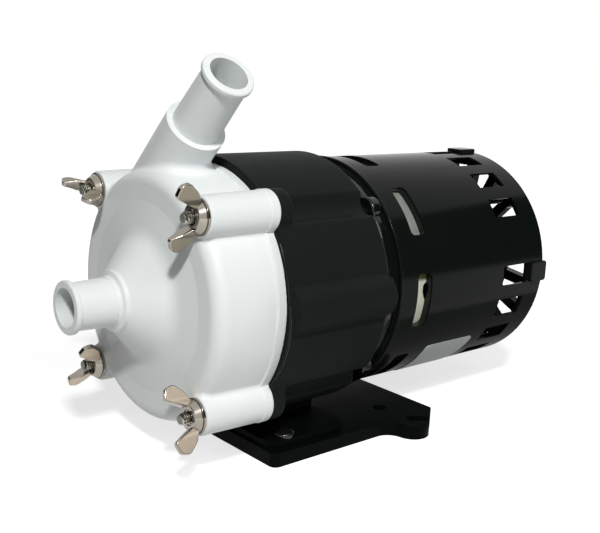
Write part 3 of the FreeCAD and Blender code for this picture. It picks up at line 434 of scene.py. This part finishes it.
# Each nut: which side of the axis it is on in y and in z, and its turn in degrees.
NUT_TURNS = {
    "near_top": (-1, 1, 105),
    "far_top": (1, 1, 14),
    "near_bottom": (-1, -1, 61),
    "far_bottom": (1, -1, 126),
}
HUB_LINE = (
    (0.0, 2.56), (0.0, 7.0, 0.2), (-0.6, 7.0, 0.4), (-3.0, 5.4, 0.9), (-3.0, 3.3, 0.15), (-2.2, 2.56),
)
MOUTH_X = -2.2
MOUTH_R = 3.4
WING_T = 2.4
WING_EASE = 0.42
WING_LINE = (
    (-0.3, 2.6), (-2.6, 2.6), (-3.0, 4.2, 0.6), (-11.8, 8.5, 1.6), (-10.2, 13.5, 2.4), (-6.2, 14.3, 2.4),
    (-1.6, 10.1, 5.0), (-0.3, 6.2),
)
WING_CORNER_STEPS = 7
ROOT_REACH = 9.0
ROOT_DEPTH = 2.0
ROOT_SWELL = 0.45
ROOT_CUTS = (6.0, 6.6, 7.2, 7.8, 8.4)


def wing(shape, turn):
    """One flared wing with eased edges and a swelled root; its flat sides are matt."""
    before = set(shape.verts)
    line = rounded(WING_LINE, WING_CORNER_STEPS)
    side = shape.faces.new([shape.verts.new((x, span, -WING_T / 2)) for x, span in line])
    grown = bmesh.ops.extrude_face_region(shape, geom=[side])["geom"]
    far = [v for v in grown if isinstance(v, bmesh.types.BMVert)]
    bmesh.ops.translate(shape, verts=far, vec=(0, 0, WING_T))
    flats = [side] + [f for f in grown if isinstance(f, bmesh.types.BMFace)]
    rims = {e for f in flats for e in f.edges}
    for flat in flats:
        flat.material_index = 1
    bmesh.ops.bevel(shape, geom=list(rims), offset=WING_EASE, segments=3, profile=0.5,
                    affect="EDGES", clamp_overlap=True, material=0)
    for span in ROOT_CUTS:
        near = [f for f in shape.faces if not before.intersection(f.verts)]
        near += list({e for f in near for e in f.edges}) + list({v for f in near for v in f.verts})
        bmesh.ops.bisect_plane(shape, geom=near, plane_co=(0, span, 0), plane_no=(0, 1, 0))
    new = [v for v in shape.verts if v not in before]
    for vert in new:
        deep = max(0.0, ROOT_REACH - max(vert.co.y, ROOT_CUTS[0])) / ROOT_DEPTH
        vert.co.z *= 1 + ROOT_SWELL * deep ** 2
    bmesh.ops.rotate(shape, verts=new, cent=(0, 0, 0), matrix=about_x(turn))


def forged_nuts():
    """Forged wing nuts, each at the turn that the photograph shows; the flat sides of the lower ones are
    painted paler as painted light, and each mouth has painted shade.
    """
    for name, (y_side, z_side, turn) in NUT_TURNS.items():
        shape = bmesh.new()
        lathe(shape, rounded(HUB_LINE))
        # Painted shade: the faces of the nut's mouth get a dark finish that stands in for shade in that
        # recess, with some tarnish.
        for face in shape.faces:
            middle = face.calc_center_median()
            if middle.x < MOUTH_X and math.hypot(middle.y, middle.z) < MOUTH_R:
                face.material_index = 2
        wing(shape, turn)
        wing(shape, turn + 180)
        place = (SEAT_X, y_side * BOLT_OFFSET, z_side * BOLT_OFFSET)
        bmesh.ops.translate(shape, verts=shape.verts, vec=place)
        # Painted light: the lower nuts' flat sides get the paler lit copy of the matt nickel.
        flats = "nickel_matt" if z_side > 0 else "nickel_matt_painted_lit"
        piece("forged_nut_" + name, shape, ["nickel", flats, "shade_and_tarnish"], name + "_wing_nut", "nickel",
              "wing_nut_" + name)


# Studs with their thread

STUD_TIP_X = -41.0
STUD_TIP_ROUND = 0.3
STUD_NECK_X = (SEAT_X + 1.0, SEAT_X + 1.4)
STUD_END_X = 6.5
STUD_R = 2.5
STUD_SIDES = 40
CORE_R = 1.95
PITCH = 1.0
THREAD_TURNS = 7
THREAD_STEPS = 28
THREAD_X = STUD_TIP_X + 0.3
THREAD_LINE = ((0.0, CORE_R - 0.06), (0.26, STUD_R), (0.58, STUD_R), (0.84, CORE_R - 0.06))
TIP_X = STUD_TIP_X + 0.35


def thread(shape):
    """Ridge of a screw thread wound round the x axis."""
    verts, edges = ring(shape, [(THREAD_X + x, 0, r) for x, r in THREAD_LINE])
    made = bmesh.ops.spin(shape, geom=verts + edges, cent=(0, 0, 0), axis=(1, 0, 0),
                          dvec=(PITCH / THREAD_STEPS, 0, 0), angle=2 * math.pi * THREAD_TURNS,
                          steps=THREAD_STEPS * THREAD_TURNS, use_merge=False)
    shape.faces.new(verts)
    end = [e for e in made["geom_last"] if isinstance(e, bmesh.types.BMEdge)]
    bmesh.ops.contextual_create(shape, geom=end)


def threaded_studs():
    """Four studs with their thread showing in front of the nuts."""
    shape = bmesh.new()
    for y_side, z_side, turn in NUT_TURNS.values():
        before = set(shape.verts)
        lathe(shape, rounded((
            (STUD_TIP_X, 0.0), (STUD_TIP_X, CORE_R, STUD_TIP_ROUND), (STUD_NECK_X[0], CORE_R),
            (STUD_NECK_X[1], STUD_R), (STUD_END_X, STUD_R), (STUD_END_X, 0.0))), STUD_SIDES)
        # Painted shade: the core between the thread ridges gets a dark finish that stands in for shade
        # there; the tip gets the stud end finish.
        for face in shape.faces:
            middle = face.calc_center_median()
            if not before.intersection(face.verts) and middle.x < SEAT_X:
                face.material_index = 1 if middle.x > TIP_X else 2
        thread(shape)
        new = [v for v in shape.verts if v not in before]
        bmesh.ops.rotate(shape, verts=new, cent=(0, 0, 0), matrix=about_x(turn))
        bmesh.ops.translate(shape, verts=new, vec=(0, y_side * BOLT_OFFSET, z_side * BOLT_OFFSET))
    piece("threaded_studs", shape, ["stud_steel", "shade_and_tarnish", "stud_end"], "pump", "bright_steel",
          "casing_studs")


# Rating plate, kept bare

SHELL_R = 56.0
PLATE_X = (97.0, 131.5)
PLATE_PHI = (math.radians(-64.0), math.radians(-34.0))
PLATE_R = (SHELL_R - 0.05, SHELL_R + 0.25)
PLATE_CORNER = 3.0
PLATE_ROWS = 30


def rating_plate():
    """Thin plate with round corners, rolled onto the lower side of the shell."""
    shape = bmesh.new()
    length = (PLATE_PHI[1] - PLATE_PHI[0]) * SHELL_R
    loops = []
    for row in range(PLATE_ROWS + 1):
        along = length * (1 - math.cos(math.pi * row / PLATE_ROWS)) / 2
        edge = min(along, length - along, PLATE_CORNER)
        inset = PLATE_CORNER - math.sqrt(PLATE_CORNER ** 2 - (PLATE_CORNER - edge) ** 2)
        phi = PLATE_PHI[0] + along / SHELL_R
        left, right = PLATE_X[0] + inset, PLATE_X[1] - inset
        corners = ((left, PLATE_R[0]), (left, PLATE_R[1]), (right, PLATE_R[1]), (right, PLATE_R[0]))
        loops.append(ring(shape, [round_axis(x, r, phi) for x, r in corners])[1])
    skin(shape, loops)
    piece("rating_plate", shape, ["bare_foil"], "pump", "bright_steel")


# Insulating sleeve with its torn edge, seen through the shell's slots

SLEEVE_X = [(corner.x - JOINT_X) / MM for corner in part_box("winding_sleeve")]
SLEEVE_R = (51.4, 51.9)
SLEEVE_STEP = 1.0

# Points (phi in degrees, x) that the torn edge runs through.
TORN_EDGE = (
    (-9.5, 88.5), (-7.0, 87.2), (-5.2, 86.2), (-3.6, 85.4), (-1.6, 84.9), (0.6, 84.9), (2.2, 85.4),
    (3.2, 87.0), (3.6, 88.5),
)
# Painted light: over this span the sleeve gets the paler tape colour, standing in for light that falls
# into the lower slot.
PAINTED_LIT_PHI = (-26.0, 4.7)
OLIVE_PHI = (4.7, 9.0)


def sleeve_edge(phi):
    """How far the sleeve reaches along x at an angle."""
    for (phi0, x0), (phi1, x1) in zip(TORN_EDGE, TORN_EDGE[1:]):
        if phi0 <= phi < phi1:
            return x0 + (x1 - x0) * (phi - phi0) / (phi1 - phi0)
    return SLEEVE_X[1]


def torn_sleeve():
    """Thin sleeve round the windings; one stretch has a wavy torn edge and an olive patch, and the
    stretch that the lower slot shows has painted light.
    """
    shape = bmesh.new()
    loops = []
    for step in range(int(360 / SLEEVE_STEP)):
        phi = step * SLEEVE_STEP - 180
        start, edge = SLEEVE_X[0], sleeve_edge(phi)
        corners = ((start, SLEEVE_R[0]), (start, SLEEVE_R[1]), (edge, SLEEVE_R[1]), (edge, SLEEVE_R[0]))
        loops.append(ring(shape, [round_axis(x, r, math.radians(phi)) for x, r in corners])[1])
    skin(shape, loops, closed=True)
    for face in shape.faces:
        middle = face.calc_center_median()
        phi = math.degrees(math.atan2(middle.z, -middle.y))
        if PAINTED_LIT_PHI[0] < phi < PAINTED_LIT_PHI[1]:
            face.material_index = 1
        elif OLIVE_PHI[0] < phi < OLIVE_PHI[1]:
            face.material_index = 2
    piece("torn_sleeve", shape, ["winding_tape", "tape_painted_lit", "tape_olive"], "pump", "winding_tape",
          "winding_sleeve")


# Seal beads squeezed out of the joint between the casing and the bracket

BEAD_R = 0.28
BEAD_SIDES = 8
BEAD_STEPS = 8

# Each bead: its upper and lower end in degrees, and the radii that it wanders through.
BEADS = (
    (30.0, -34.0, (57.0, 57.3, 57.0, 57.9, 58.3, 57.6, 57.2)),
    (4.0, -30.0, (57.9, 58.7, 59.0, 58.6, 58.0)),
)


def joint_beads():
    """Thin wavy beads that lie on the bracket's front rim."""
    shape = bmesh.new()
    spins = [2 * math.pi * k / BEAD_SIDES for k in range(BEAD_SIDES)]
    for phi_top, phi_bottom, radii in BEADS:
        steps = (len(radii) - 1) * BEAD_STEPS
        loops = []
        for step in range(steps + 1):
            share = step / BEAD_STEPS
            at = min(int(share), len(radii) - 2)
            ease = (1 - math.cos(math.pi * (share - at))) / 2
            r = radii[at] + (radii[at + 1] - radii[at]) * ease
            phi = math.radians(phi_top + (phi_bottom - phi_top) * step / steps)
            loops.append(ring(shape, [
                round_axis(BEAD_R * math.sin(spin), r + BEAD_R * math.cos(spin), phi)
                for spin in spins])[1])
        skin(shape, loops)
    piece("joint_beads", shape, ["wet_enamel"], "pump", "seal_rubber")


# Copies of fixed pieces with eased edges, in metres

CLOSE = 1e-6
FLAT_ANGLE = math.radians(0.5)
HARD_ANGLE = math.radians(35)
UPRIGHT = 0.99
PAINTED_SHADE_TOP = 0.0115


def bevel_edges(shape, edges, width, segments):
    """Rounds edges by a width in millimetres; the faces keep their finishes."""
    bmesh.ops.bevel(shape, geom=edges, offset=width * MM, segments=segments, profile=0.5,
                    affect="EDGES", clamp_overlap=True, material=-1)


def hard_edges(shape):
    """Edges where two faces meet at a marked angle."""
    return [e for e in shape.edges if len(e.link_faces) == 2 and e.calc_face_angle() > HARD_ANGLE]


def eased(node, name, width, slot, upright_width=0.0, painted_shade_top=0.0):
    """Copy of a node with eased edges; faces below the given height get a darker satin finish as painted
    shade.
    """
    shape = bmesh.new()
    shape.from_mesh(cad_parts[node].data)
    bmesh.ops.remove_doubles(shape, verts=shape.verts, dist=CLOSE)
    bmesh.ops.dissolve_limit(shape, angle_limit=FLAT_ANGLE, verts=shape.verts, edges=shape.edges)
    if upright_width:
        corners = [e for e in hard_edges(shape) if e.is_convex
                   and abs((e.verts[0].co - e.verts[1].co).normalized().z) > UPRIGHT]
        bevel_edges(shape, corners, upright_width, 4)
    bevel_edges(shape, hard_edges(shape), width, 2)
    # Painted shade: faces low on the piece, such as the bracket's foot, get the darker satin finish,
    # standing in for shade there.
    for face in shape.faces:
        face.material_index = 1 if face.calc_center_median().z < painted_shade_top else 0
    settle(name, shape, [slot, "black_satin"], "pump", slot, node)


forged_nuts()
threaded_studs()
rating_plate()
torn_sleeve()
joint_beads()
eased("base_plate", "eased_base", 0.5, "black_satin", upright_width=1.8)
eased("rear_end_bell", "eased_rear_bell", 0.5, "black_enamel")
eased("motor_bracket", "eased_bracket", 0.4, "black_gloss", painted_shade_top=PAINTED_SHADE_TOP)

bpy.context.scene.view_settings.view_transform = "Standard"
